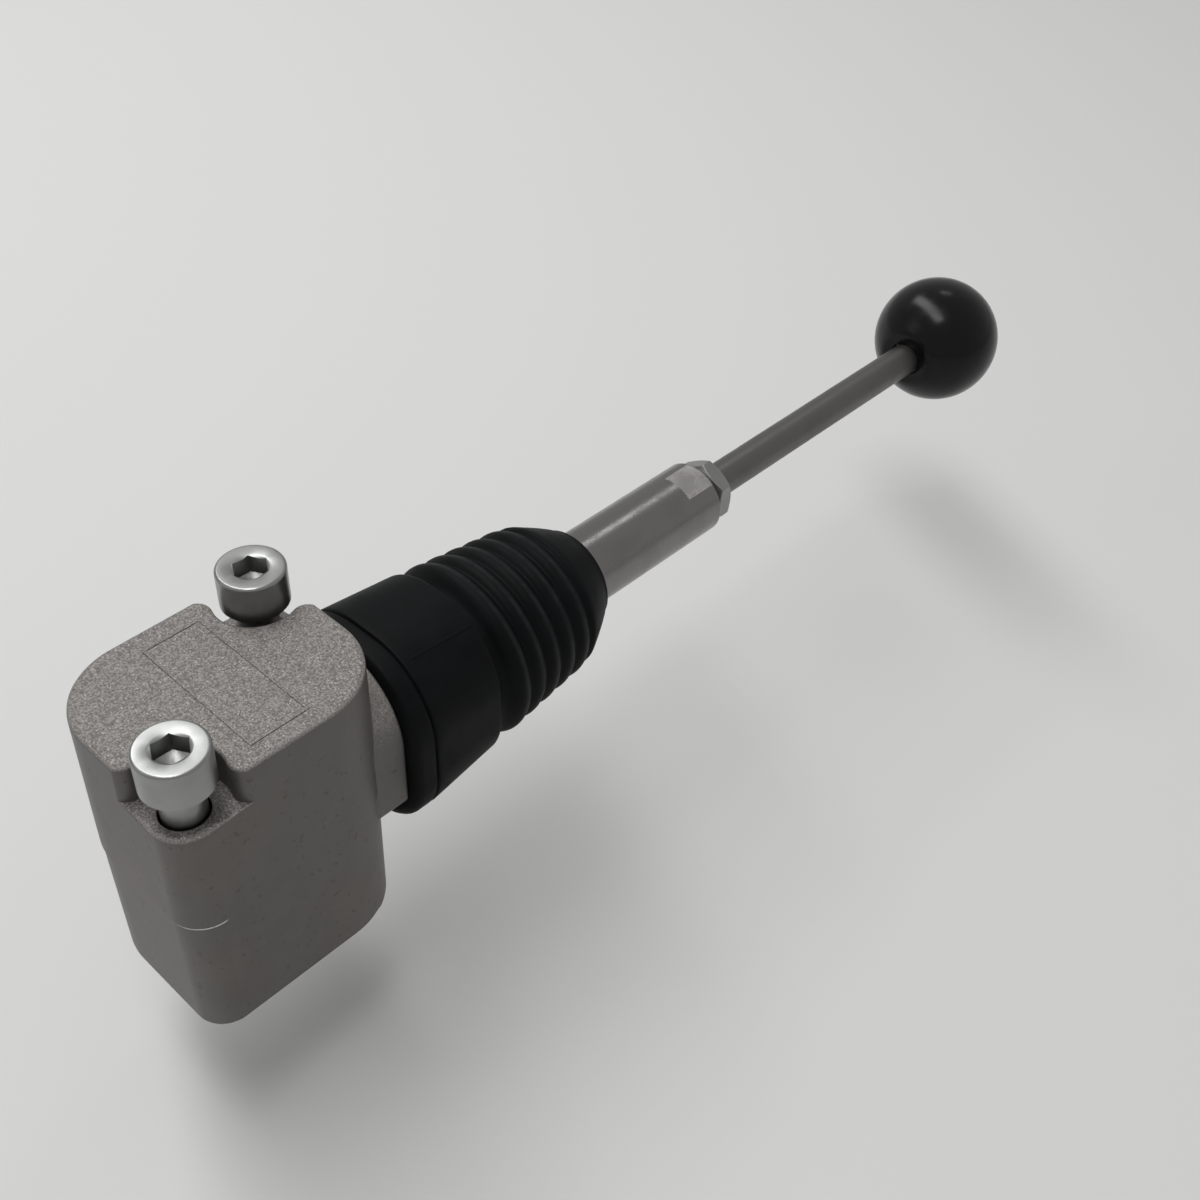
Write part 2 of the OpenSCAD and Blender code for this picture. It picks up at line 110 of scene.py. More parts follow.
class Graph:
    """A material's node tree, with short ways to add and join its nodes."""

    def __init__(self, name: str) -> None:
        """Makes an empty material with its shader and output.

        Args:
            name: The material's name.
        """
        self.material = bpy.data.materials.new(name)
        self.material.use_nodes = True
        self.tree = self.material.node_tree
        self.tree.nodes.clear()
        output = self.tree.nodes.new("ShaderNodeOutputMaterial")
        self.shader = self.tree.nodes.new("ShaderNodeBsdfPrincipled")
        self.tree.links.new(self.shader.outputs["BSDF"], output.inputs["Surface"])
        self.coordinates = self.tree.nodes.new("ShaderNodeTexCoord").outputs["Object"]

    def join(self, source: Socket, target: Socket) -> None:
        """Links one socket to another."""
        self.tree.links.new(source, target)

    def node(self, kind: str, **settings: object) -> bpy.types.Node:
        """Adds a node and sets its properties.

        Args:
            kind: The node's type name.
            **settings: Property values of the node.

        Returns:
            The new node.
        """
        made = self.tree.nodes.new(kind)
        for key, value in settings.items():
            setattr(made, key, value)
        return made

    def noise(self, grain_mm: float, detail: float = 2.0, stretch: Triple = (1, 1, 1)) -> Socket:
        """Adds a noise pattern on Object coordinates.

        Args:
            grain_mm: Size of one grain, in millimetres.
            detail: Number of finer octaves.
            stretch: Scale of the pattern along X, Y and Z.

        Returns:
            The pattern's value, about 0 to 1.
        """
        mapping = self.node("ShaderNodeMapping")
        mapping.inputs["Scale"].default_value = stretch
        self.join(self.coordinates, mapping.inputs["Vector"])
        noise = self.node("ShaderNodeTexNoise")
        noise.inputs["Scale"].default_value = 1 / (grain_mm * MM)
        noise.inputs["Detail"].default_value = detail
        self.join(mapping.outputs["Vector"], noise.inputs["Vector"])
        return noise.outputs["Fac"]

    def remap(
        self, value: Socket, low: float, high: float, to_low: float = 0.0, to_high: float = 1.0
    ) -> Socket:
        """Maps a value's range to another one, smoothly and clamped.

        Args:
            value: The socket to read.
            low: Value that becomes to_low.
            high: Value that becomes to_high.
            to_low: Result at low.
            to_high: Result at high.

        Returns:
            The mapped value.
        """
        ramp = self.node("ShaderNodeMapRange", interpolation_type="SMOOTHSTEP")
        for key, number in (("From Min", low), ("From Max", high), ("To Min", to_low), ("To Max", to_high)):
            ramp.inputs[key].default_value = number
        self.join(value, ramp.inputs["Value"])
        return ramp.outputs["Result"]

    def mix(self, amount: Socket, first: Socket | Colour, second: Socket | Colour) -> Socket:
        """Mixes two colours, each a socket or a plain colour.

        Args:
            amount: 0 gives the first colour, 1 the second.
            first: Colour or socket at 0.
            second: Colour or socket at 1.

        Returns:
            The mixed colour.
        """
        mix = self.node("ShaderNodeMix", data_type="RGBA")
        self.join(amount, mix.inputs["Factor"])
        for key, colour in ((6, first), (7, second)):
            if isinstance(colour, Socket):
                self.join(colour, mix.inputs[key])
            else:
                mix.inputs[key].default_value = (*colour, 1.0)
        return mix.outputs[2]

    def maths(self, kind: str, first: Socket, second: Socket | float = 0.0) -> Socket:
        """Adds a Math node on a socket and a socket or number.

        Args:
            kind: The operation's name, such as MULTIPLY.
            first: Left value.
            second: Right value, which some operations leave out.

        Returns:
            The result.
        """
        maths = self.node("ShaderNodeMath", operation=kind)
        self.join(first, maths.inputs[0])
        if isinstance(second, Socket):
            self.join(second, maths.inputs[1])
        else:
            maths.inputs[1].default_value = second
        return maths.outputs[0]

    def facing_up(self, low: float, high: float) -> Socket:
        """Gives 1 on faces that look up and 0 on walls.

        Args:
            low: Normal's Z at which the value starts to rise.
            high: Normal's Z at which it is 1.

        Returns:
            The mask.
        """
        geometry = self.node("ShaderNodeNewGeometry")
        split = self.node("ShaderNodeSeparateXYZ")
        self.join(geometry.outputs["Normal"], split.inputs[0])
        return self.remap(split.outputs["Z"], low, high)

    def turned_from_up(self, low: float, high: float) -> Socket:
        """Gives 1 on walls and roundings and 0 on faces that look straight up."""
        return self.remap(self.facing_up(low, high), 0.0, 1.0, 1.0, 0.0)

    def place(self, axis: str) -> Socket:
        """Gives one Object coordinate, in metres."""
        split = self.node("ShaderNodeSeparateXYZ")
        self.join(self.coordinates, split.inputs[0])
        return split.outputs[axis]

    def painted(self, name: str) -> Socket:
        """Gives the value that a piece's mesh carries under a name."""
        return self.node("ShaderNodeAttribute", attribute_type="GEOMETRY", attribute_name=name).outputs["Fac"]

    def between(self, value: Socket, low: float, high: float, soft: float) -> Socket:
        """Gives 1 where a value lies between two others, with soft ends.

        Args:
            value: The socket to read.
            low: Where the mask is full.
            high: Where the mask is still full.
            soft: Width of each end, outside the two.

        Returns:
            The mask.
        """
        above = self.remap(value, low - soft, low)
        return self.maths("MULTIPLY", above, self.remap(value, high, high + soft, 1.0, 0.0))

    def cells(self, size_mm: float) -> tuple[Socket, Socket]:
        """Adds a pattern of separate grains.

        Args:
            size_mm: Distance between grains, in millimetres.

        Returns:
            The distance from each grain's middle, and a number of each grain's own.
        """
        cells = self.node("ShaderNodeTexVoronoi")
        cells.inputs["Scale"].default_value = 1 / (size_mm * MM)
        self.join(self.coordinates, cells.inputs["Vector"])
        split = self.node("ShaderNodeSeparateColor")
        self.join(cells.outputs["Color"], split.inputs[0])
        return cells.outputs["Distance"], split.outputs[0]

    def bump(
        self, height: Socket, depth_mm: float, strength: float = 1.0, under: Socket | None = None
    ) -> Socket:
        """Adds a bump on top of another one.

        Args:
            height: Height pattern, 0 to 1.
            depth_mm: Height of 1, in millimetres.
            strength: How much the bump counts.
            under: Normal that this bump adds to.

        Returns:
            The bumped normal.
        """
        bump = self.node("ShaderNodeBump")
        bump.inputs["Strength"].default_value = strength
        bump.inputs["Distance"].default_value = depth_mm * MM
        self.join(height, bump.inputs["Height"])
        if under is not None:
            self.join(under, bump.inputs["Normal"])
        return bump.outputs["Normal"]

    def set(self, **values: object) -> None:
        """Sets the shader's sockets, or links those given as sockets.

        Args:
            **values: Socket names with _ for a space, and their values.
        """
        for key, value in values.items():
            socket = self.shader.inputs[key.replace("_", " ")]
            if isinstance(value, Socket):
                self.join(value, socket)
            else:
                socket.default_value = (*value, 1.0) if isinstance(value, tuple) else value


def scaled(colour: Colour, factor: float) -> Colour:
    """Gives a colour made darker or lighter by a factor."""
    red, green, blue = colour
    return red * factor, green * factor, blue * factor


@dataclass(frozen=True)
class CastFinish:
    """Die-cast metal: blasted where it looks up, smoother on its drawn walls.

    The factors of the wall's shade, of the blasted face's specks and painted glints, and of
    the band along its rim, brightened as wear and as a painted highlight, darken or lighten
    the two base colours. The pairs in millimetres give where a mask is full and where it ends.
    """

    name: str
    blasted: Colour
    wall: Colour
    warm_wall: Colour
    stain: Colour
    # The flash colour is a painted highlight along the thin flash ridge.
    flash: Colour
    metal: float = 0.5
    grain_mm: float = 0.28
    shade: float = 0.84
    dark_speck: float = 0.56
    light_speck: float = 1.26
    # The glints are painted highlights; the rim is lightened as wear and as a painted highlight.
    painted_glint: float = 2.3
    painted_glint_share: float = 0.75
    rim: float = 1.55
    rim_wear_and_highlight_share: float = 0.30
    wall_roughness: float = 0.44
    top_roughness: float = 0.55
    parting_mm: float = 29.7
    flash_mm: tuple[float, float] = (0.16, 0.40)
    screw_corner_mm: tuple[float, float] = (-38.4, -37.4)
    back_wall_mm: tuple[float, float] = (-24.0, -23.6)
    back_flash_mm: Triple = (1.2, 5.2, 1.2)

    def material(self) -> bpy.types.Material:
        """Builds the material.

        Returns:
            The material.
        """
        g = Graph(self.name)
        up = g.facing_up(0.12, 0.62)
        flash = self.flash_line(g)
        waves = g.maths("MULTIPLY", g.noise(5.0, 2), 2.0)
        pores = g.maths("MULTIPLY", g.noise(0.45, 3), 0.4)
        normal = g.bump(g.maths("ADD", waves, pores), 0.05, 0.5)
        normal = g.bump(flash, 0.15, 0.7, normal)
        grain = g.maths("MULTIPLY", g.noise(self.grain_mm, 3), up)
        g.set(
            Base_Color=g.mix(up, self.wall_colour(g, flash), self.top_colour(g)),
            Metallic=self.metal,
            Roughness=g.remap(up, 0, 1, self.wall_roughness, self.top_roughness),
            Normal=g.bump(grain, 0.15, 0.85, normal),
        )
        return g.material

    def wall_colour(self, g: Graph, flash: Socket) -> Socket:
        """Gives the drawn walls' colour, with its shade, its stains and the flash, painted bright as a
        highlight.

        Args:
            g: The material's graph.
            flash: Mask of the flash, which takes the painted highlight.

        Returns:
            The colour.
        """
        wall = g.mix(g.remap(g.noise(24, 2), 0.35, 0.62), self.wall, self.warm_wall)
        shade = g.remap(g.noise(6, 4), 0.38, 0.68, 0.0, 0.35)
        wall = g.mix(shade, wall, scaled(self.wall, self.shade))
        stains = g.remap(g.noise(1.4, 3), 0.62, 0.72, 0.0, 0.6)
        # The flash gets its bright colour as a painted highlight.
        return g.mix(flash, g.mix(stains, wall, self.stain), self.flash)

    def top_colour(self, g: Graph) -> Socket:
        """Gives the blasted face's colour, with its specks, its painted glints, and its rim brightened as
        wear and as a painted highlight.

        Args:
            g: The material's graph.

        Returns:
            The colour.
        """
        speck = g.remap(g.noise(self.grain_mm * 1.2, 2), 0.36, 0.64)
        top = g.mix(speck, scaled(self.blasted, self.dark_speck), scaled(self.blasted, self.light_speck))
        # Painted glints: a few grains lightened as highlights of the blasted face.
        off, number = g.cells(self.grain_mm * 1.6)
        painted_glint = g.maths("MULTIPLY", g.remap(number, 0.78, 0.90), g.remap(off, 0.20, 0.46, 1.0, 0.0))
        top = g.mix(g.maths("MULTIPLY", painted_glint, self.painted_glint_share), top, scaled(self.blasted, self.painted_glint))
        # The rim: rounded edges that tilt up, lightened as wear and as a painted highlight.
        rim = g.maths("MULTIPLY", g.facing_up(0.20, 0.50), g.turned_from_up(0.82, 0.98))
        return g.mix(g.maths("MULTIPLY", rim, self.rim_wear_and_highlight_share), top, scaled(self.blasted, self.rim))

    def flash_line(self, g: Graph) -> Socket:
        """Masks the broken line of flash at the near screw's corner and on the back wall.

        Args:
            g: The material's graph.

        Returns:
            The mask, 1 on the flash.
        """
        height = g.maths("ABSOLUTE", g.maths("SUBTRACT", g.place("Z"), self.parting_mm * MM))
        thin, gone = self.flash_mm
        line = g.remap(height, thin * MM, gone * MM, 1.0, 0.0)
        full, none = self.screw_corner_mm
        screw_corner = g.remap(g.maths("ADD", g.place("X"), g.place("Y")), full * MM, none * MM, 1.0, 0.0)
        full, none = self.back_wall_mm
        back_wall = g.remap(g.place("X"), full * MM, none * MM, 1.0, 0.0)
        low, high, soft = self.back_flash_mm
        back = g.maths("MULTIPLY", back_wall, g.between(g.place("Y"), low * MM, high * MM, soft * MM))
        seen = g.maths("MAXIMUM", screw_corner, back)
        broken = g.remap(g.noise(1.4, 2), 0.34, 0.46)
        return g.maths("MULTIPLY", g.maths("MULTIPLY", line, seen), broken)


@dataclass(frozen=True)
class SteelFinish:
    """Turned or plated steel with fine tool marks, whose pattern is scaled along each axis."""

    name: str
    colour: Colour
    roughness: float
    marks: Triple = (1.0, 1.0, 1.0)
    mark_mm: float = 0.25
    mark_depth_mm: float = 0.004
    smudge: float = 0.04
    shade: float = 0.90
    metal: float = 1.0

    def material(self) -> bpy.types.Material:
        """Builds the material.

        Returns:
            The material.
        """
        g = Graph(self.name)
        marks = g.noise(self.mark_mm, 2, self.marks)
        smudges = g.noise(7, 3)
        shade = tuple(c * self.shade for c in self.colour)
        rough = g.remap(smudges, 0.3, 0.7, self.roughness - self.smudge, self.roughness + self.smudge)
        g.set(
            Base_Color=g.mix(g.remap(smudges, 0.35, 0.75), self.colour, shade),
            Metallic=self.metal,
            Roughness=rough,
            Normal=g.bump(marks, self.mark_depth_mm),
        )
        return g.material


@dataclass(frozen=True)
class RubberFinish:
    """Moulded rubber with a dusty bloom, a pale line on its crests of rub wear and painted highlight, and a
    mould line if asked.
    """

    name: str
    colour: Colour
    bloom: Colour
    roughness: float = 0.58
    specular: float = 0.09
    rub_and_highlight: Colour | None = None
    mould_line_mm: float | None = None
    line_half_mm: tuple[float, float] = (0.12, 0.36)
    line_ends_mm: Triple = (34.5, 48.5, 1.5)

    def material(self) -> bpy.types.Material:
        """Builds the material.

        Returns:
            The material.
        """
        g = Graph(self.name)
        dust = g.remap(g.noise(9, 4), 0.42, 0.74)
        normal = g.bump(g.noise(6.5, 2), 0.10, 0.5)
        normal = g.bump(g.noise(0.45, 3), 0.012, 0.8, normal)
        colour = g.mix(dust, self.colour, self.bloom)
        if self.rub_and_highlight is not None:
            # The pale line on the crests is partly rub wear and partly painted highlight.
            wear = g.remap(g.noise(2.2, 3), 0.30, 0.70, 0.45, 1.0)
            colour = g.mix(g.maths("MULTIPLY", g.painted("crest"), wear), colour, self.rub_and_highlight)
        if self.mould_line_mm is not None:
            ridge = self.mould_line(g)
            colour = g.mix(g.maths("MULTIPLY", ridge, 0.55), colour, scaled(self.colour, 0.45))
            normal = g.bump(ridge, 0.10, 0.7, normal)
        g.set(
            Base_Color=colour,
            Roughness=g.remap(dust, 0, 1, self.roughness - 0.05, self.roughness + 0.08),
            Specular_IOR_Level=self.specular,
            Normal=normal,
        )
        return g.material

    def mould_line(self, g: Graph) -> Socket:
        """Masks the fine line that the mould left along the upper side of the smooth body.

        Args:
            g: The material's graph.

        Returns:
            The mask, 1 on the line.
        """
        off = g.maths("ABSOLUTE", g.maths("ADD", g.place("Y"), self.mould_line_mm * MM))
        full, none = self.line_half_mm
        line = g.remap(off, full * MM, none * MM, 1.0, 0.0)
        low, high, soft = self.line_ends_mm
        return g.maths("MULTIPLY", line, g.between(g.place("X"), low * MM, high * MM, soft * MM))


@dataclass(frozen=True)
class GlossFinish:
    """Polished phenolic moulding."""

    name: str
    colour: Colour
    roughness: float = 0.20
    specular: float = 0.22

    def material(self) -> bpy.types.Material:
        """Builds the material.

        Returns:
            The material.
        """
        g = Graph(self.name)
        wear = g.remap(g.noise(3.0, 4), 0.4, 0.7)
        g.set(
            Base_Color=self.colour,
            Roughness=g.remap(wear, 0, 1, self.roughness, self.roughness + 0.06),
            Specular_IOR_Level=self.specular,
            Normal=g.bump(g.noise(4.0, 2), 0.02, 0.35),
        )
        return g.material


class Finishes:
    """The finishes of all pieces, built once and dressed onto meshes by slot name."""

    def __init__(self) -> None:
        """Builds every material."""
        self.by_slot = {
            # The casting's flash colour is a painted highlight on the flash ridge.
            Slot.CASTING: CastFinish(
                "blasted casting", blasted=(0.252, 0.236, 0.223), wall=(0.128, 0.125, 0.118),
                warm_wall=(0.140, 0.126, 0.115), stain=(0.080, 0.060, 0.050), flash=(0.85, 0.82, 0.79),
            ).material(),
            Slot.ZINC: SteelFinish("bright zinc", (0.315, 0.32, 0.312), 0.32, mark_mm=0.5).material(),
            Slot.PLAIN: SteelFinish("plain steel", (0.36, 0.36, 0.355), 0.38).material(),
            Slot.HARDENED: SteelFinish("hardened steel", (0.28, 0.28, 0.29), 0.30).material(),
            Slot.SATIN: SteelFinish(
                "satin steel", (0.235, 0.228, 0.220), 0.26, marks=(6.0, 0.5, 0.5)
            ).material(),
            # The boot's pale crest colour is rub wear and painted highlight.
            Slot.BOOT: RubberFinish(
                "boot rubber", (0.0034, 0.0038, 0.0044), (0.0062, 0.0068, 0.0077),
                rub_and_highlight=(0.0190, 0.0198, 0.0212), mould_line_mm=10.5,
            ).material(),
            Slot.SEAL: RubberFinish(
                "seal rubber", (0.010, 0.010, 0.010), (0.015, 0.015, 0.015), roughness=0.4
            ).material(),
            Slot.BRONZE: SteelFinish("sintered bronze", (0.42, 0.26, 0.12), 0.42, mark_mm=0.4).material(),
            Slot.PHENOLIC: GlossFinish("black phenolic", (0.0030, 0.0030, 0.0036)).material(),
            Slot.BRASS: SteelFinish("turned brass", (0.62, 0.44, 0.19), 0.3).material(),
        }
        self.drawn = SteelFinish(
            "drawn steel", (0.165, 0.160, 0.155), 0.42, marks=(0.3, 3.0, 3.0), mark_depth_mm=0.006,
            shade=0.94,
        ).material()

    def dress(self, piece: bpy.types.Object, slot: Slot) -> None:
        """Gives a new piece its finish.

        Args:
            piece: The mesh object.
            slot: The record's material slot.
        """
        piece.data.materials.clear()
        piece.data.materials.append(self.by_slot[slot])

    def dress_node(self, node: bpy.types.Object, material: bpy.types.Material) -> None:
        """Gives a CAD node that stays in view its better material.

        Args:
            node: The CAD node's object.
            material: The finish.
        """
        for holder in node.material_slots:
            holder.material = material


# --- Mesh helpers ----------------------------------------------------------------------


def finish_mesh(bm: Mesh, name: str, sharp_deg: float = 32.0) -> bpy.types.Object:
    """Turns a bmesh in millimetres into a shaded object in metres.

    Args:
        bm: The mesh, which is freed.
        name: Name of the new object.
        sharp_deg: Edges that bend more than this stay sharp.

    Returns:
        The new object, linked to the scene.
    """
    bmesh.ops.scale(bm, vec=(MM, MM, MM), verts=bm.verts)
    for face in bm.faces:
        face.smooth = True
    limit = math.radians(sharp_deg)
    for edge in bm.edges:
        edge.smooth = edge.calc_face_angle(0.0) < limit
    mesh = bpy.data.meshes.new(name)
    bm.to_mesh(mesh)
    bm.free()
    piece = bpy.data.objects.new(name, mesh)
    bpy.context.scene.collection.objects.link(piece)
    return piece


def settle_normals(piece: bpy.types.Object) -> None:
    """Weighs a piece's normals by face area, so flat faces stay flat beside roundings."""
    weighted = piece.modifiers.new("face weight", "WEIGHTED_NORMAL")
    weighted.keep_sharp = True


def spun(profile: Sequence[tuple[float, float]], segments: int) -> Mesh:
    """Spins a profile round Z.

    Args:
        profile: Radius and height of each point.
        segments: Steps round the axis.

    Returns:
        The turned mesh, open where the profile ends off the axis.
    """
    bm = bmesh.new()
    points = [bm.verts.new((radius, 0, height)) for radius, height in profile]
    edges = [bm.edges.new(pair) for pair in zip(points, points[1:])]
    bmesh.ops.spin(
        bm, geom=points + edges, cent=(0, 0, 0), axis=(0, 0, 1), angle=math.tau,
        steps=segments, use_merge=True,
    )
    bmesh.ops.remove_doubles(bm, verts=bm.verts, dist=SAME_MM)
    return bm


def quarter(steps: int) -> list[float]:
    """Gives the angles of a quarter turn in equal steps, with both its ends."""
    return [math.radians(90 * step / steps) for step in range(steps + 1)]


def grow_ring(bm: Mesh, edges: Sequence[Edge]) -> tuple[set[Vert], list[Edge]]:
    """Extrudes a ring of edges in place.

    Args:
        bm: The mesh.
        edges: The ring's edges.

    Returns:
        The new ring's points and its edges.
    """
    grown = bmesh.ops.extrude_edge_only(bm, edges=edges)["geom"]
    ring = {item for item in grown if isinstance(item, Vert)}
    return ring, [item for item in grown if isinstance(item, Edge) and set(item.verts) <= ring]


def along_lever(bm: Mesh, start_x: float, axis_z: float) -> None:
    """Lays a shape that was made along Z onto the lever's axis, in place.

    Args:
        bm: The mesh.
        start_x: Where its height of zero goes.
        axis_z: Height of the lever's axis.
    """
    turn = Matrix.Translation((start_x, 0, axis_z)) @ Matrix.Rotation(math.radians(90), 4, "Y")
    bmesh.ops.transform(bm, matrix=turn, verts=bm.verts)


def lofted(stations: Sequence["Section"], segments: int) -> Mesh:
    """Extrudes a ring from section to section, and closes the last onto the first.

    Args:
        stations: Sections in order round the whole wall.
        segments: Points in each ring.

    Returns:
        A closed wall.
    """
    bm = bmesh.new()
    angle = bm.verts.layers.float.new("angle")
    ring = bmesh.ops.create_circle(bm, segments=segments, radius=1.0)["verts"]
    for vert in ring:
        vert[angle] = math.atan2(vert.co.y, vert.co.x)
        vert.co = stations[0].point(vert[angle])
    edges = list(bm.edges)
    for section in stations[1:]:
        ring, edges = grow_ring(bm, edges)
        for vert in ring:
            vert.co = section.point(vert[angle])
    bmesh.ops.remove_doubles(bm, verts=bm.verts, dist=SAME_MM)
    bmesh.ops.recalc_face_normals(bm, faces=bm.faces)
    return bm


@dataclass(frozen=True)
class Section:
    """A rounded outline across the lever, in millimetres."""

    x: float
    half_w: float
    half_h: float
    corner: float
    middle_z: float

    def point(self, angle: float) -> Vector:
        """Gives the outline's point in one direction from its middle.

        Args:
            angle: Direction, from +Y towards +Z, in radians.

        Returns:
            The point.
        """
        c, s = abs(math.cos(angle)), abs(math.sin(angle))
        corner_y, corner_z = self.half_w - self.corner, self.half_h - self.corner
        reach = min(self.half_w / max(c, 1e-9), self.half_h / max(s, 1e-9))
        if reach * c > corner_y and reach * s > corner_z:
            along = c * corner_y + s * corner_z
            off = corner_y**2 + corner_z**2 - self.corner**2
            reach = along + math.sqrt(max(along**2 - off, 0.0))
        return Vector((self.x, reach * math.cos(angle), self.middle_z + reach * math.sin(angle)))

    @staticmethod
    def round(x: float, radius: float, middle_z: float) -> "Section":
        """Gives a circular section."""
        return Section(x, radius, radius, radius, middle_z)

    def blend(self, other: "Section", share: float) -> "Section":
        """Gives the section at a share of the way to another one."""
        mix = [a + (b - a) * share for a, b in zip(self.values(), other.values())]
        return Section(*mix)

    def values(self) -> tuple[float, float, float, float, float]:
        """Gives the section's numbers in order."""
        return self.x, self.half_w, self.half_h, self.corner, self.middle_z


def eased_copy(
    node: bpy.types.Object, name: str, roundings: Iterable[tuple[Callable[[Edge], bool], float, int]]
) -> bpy.types.Object:
    """Copies a CAD node with its outer edges rounded as the real piece's are.

    Args:
        node: The CAD node's object.
        name: Name of the new object.
        roundings: Test of an edge, in millimetres, with its radius and its steps.

    Returns:
        The rounded copy.
    """
    bm = bmesh.new()
    bm.from_mesh(node.data)
    bmesh.ops.scale(bm, vec=(1 / MM, 1 / MM, 1 / MM), verts=bm.verts)
    bmesh.ops.remove_doubles(bm, verts=bm.verts, dist=0.002)
    bmesh.ops.dissolve_limit(bm, angle_limit=math.radians(0.4), verts=bm.verts, edges=bm.edges)
    for chosen, radius, steps in roundings:
        edges = [edge for edge in bm.edges if len(edge.link_faces) == 2 and chosen(edge)]
        bmesh.ops.bevel(
            bm, geom=edges, offset=radius, offset_type="OFFSET", segments=steps, profile=0.5,
            affect="EDGES", clamp_overlap=False, material=-1,
        )
    return finish_mesh(bm, name)


# --- The lever box ---------------------------------------------------------------------


@dataclass
class LeverBox:
    """Cast housing with the blank panel on its top, and its seal.

    All sizes are in millimetres. The panel is given by its low and high X and Y.
    """

    frame: dict
    finishes: Finishes
    top_z: float = 61.0
    shelf_z: float = 53.0
    boss_x: float = 26.25
    screw_x: float = 17.75
    screw_y: float = 13.5
    hole_clear: float = 4.8
    core_r: float = 18.0
    rim_r: float = 0.9
    shelf_r: float = 1.1
    foot_r: float = 0.7
    boss_r: float = 0.7
    panel: tuple[float, float, float, float] = (-5.3, 7.0, -16.2, 15.4)
    line_w: float = 0.60
    line_h: float = 0.20
    line_root: float = 0.3
    line_edge: float = 0.17

    def build(self) -> None:
        """Makes the rounded casting and its panel, and dresses the seal ring."""
        casting = eased_copy(
            self.frame["nodes"]["housing"],
            "casting",
            [
                (lambda edge: self.level(edge, self.top_z), self.rim_r, 4),
                (lambda edge: self.level(edge, self.shelf_z) and self.outer(edge), self.shelf_r, 5),
                (lambda edge: self.level(edge, 0.0) and self.outer(edge), self.foot_r, 3),
                (self.on_boss, self.boss_r, 3),
            ],
        )
        settle_normals(casting)
        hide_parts("housing")
        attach(casting, "housing")
        self.finishes.dress(casting, Slot.CASTING)
        log.info("casting: %d faces", len(casting.data.polygons))
        border = self.border()
        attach(border, "housing")
        self.finishes.dress(border, Slot.CASTING)
        log.info("panel border: %d faces", len(border.data.polygons))
        self.finishes.dress_node(self.frame["nodes"]["seal_ring"], self.finishes.by_slot[Slot.SEAL])

    def border(self) -> bpy.types.Object:
        """Makes the low raised line round the blank panel on the top face.

        Returns:
            The border.
        """
        low_x, high_x, low_y, high_y = self.panel
        bm = bmesh.new()
        bmesh.ops.create_grid(bm, x_segments=1, y_segments=1, size=0.5)
        bmesh.ops.scale(bm, vec=(high_x - low_x, high_y - low_y, 1), verts=bm.verts)
        middle = ((low_x + high_x) / 2, (low_y + high_y) / 2, self.top_z - self.line_root)
        bmesh.ops.translate(bm, vec=middle, verts=bm.verts)
        inner = list(bm.faces)
        bmesh.ops.inset_region(
            bm, faces=inner, thickness=self.line_w, use_even_offset=True, use_boundary=True
        )
        bmesh.ops.delete(bm, geom=inner, context="FACES")
        grown = bmesh.ops.extrude_face_region(bm, geom=list(bm.faces))["geom"]
        raised = [item for item in grown if isinstance(item, Vert)]
        bmesh.ops.translate(bm, vec=(0, 0, self.line_h + self.line_root), verts=raised)
        bmesh.ops.recalc_face_normals(bm, faces=bm.faces)
        edges = [edge for edge in bm.edges if all(vert in raised for vert in edge.verts)]
        edges = [edge for edge in edges if edge.calc_face_angle(0.0) > CORNER]
        bmesh.ops.bevel(
            bm, geom=edges, offset=self.line_edge, offset_type="OFFSET", segments=2, profile=0.5,
            affect="EDGES", clamp_overlap=False, material=-1,
        )
        return finish_mesh(bm, "panel_border")

    @staticmethod
    def sharp(edge: Edge) -> bool:
        """Tells whether an edge sticks out and is no part of a round wall."""
        return edge.is_convex and edge.calc_face_angle(0.0) > CORNER

    def level(self, edge: Edge, z: float) -> bool:
        """Tells whether an edge is a sharp one that lies at a height."""
        return all(abs(vert.co.z - z) < LEVEL_MM for vert in edge.verts) and self.sharp(edge)

    def outer(self, edge: Edge) -> bool:
        """Tells whether an edge is on the outline of the box, and on no hole."""
        return all(
            math.hypot(vert.co.x, vert.co.y) > self.core_r
            and math.hypot(abs(vert.co.x) - self.screw_x, abs(vert.co.y) - self.screw_y) > self.hole_clear
            for vert in edge.verts
        )

    def on_boss(self, edge: Edge) -> bool:
        """Tells whether an edge is the rim of the boss's end face."""
        return all(abs(vert.co.x - self.boss_x) < LEVEL_MM for vert in edge.verts) and self.sharp(edge)


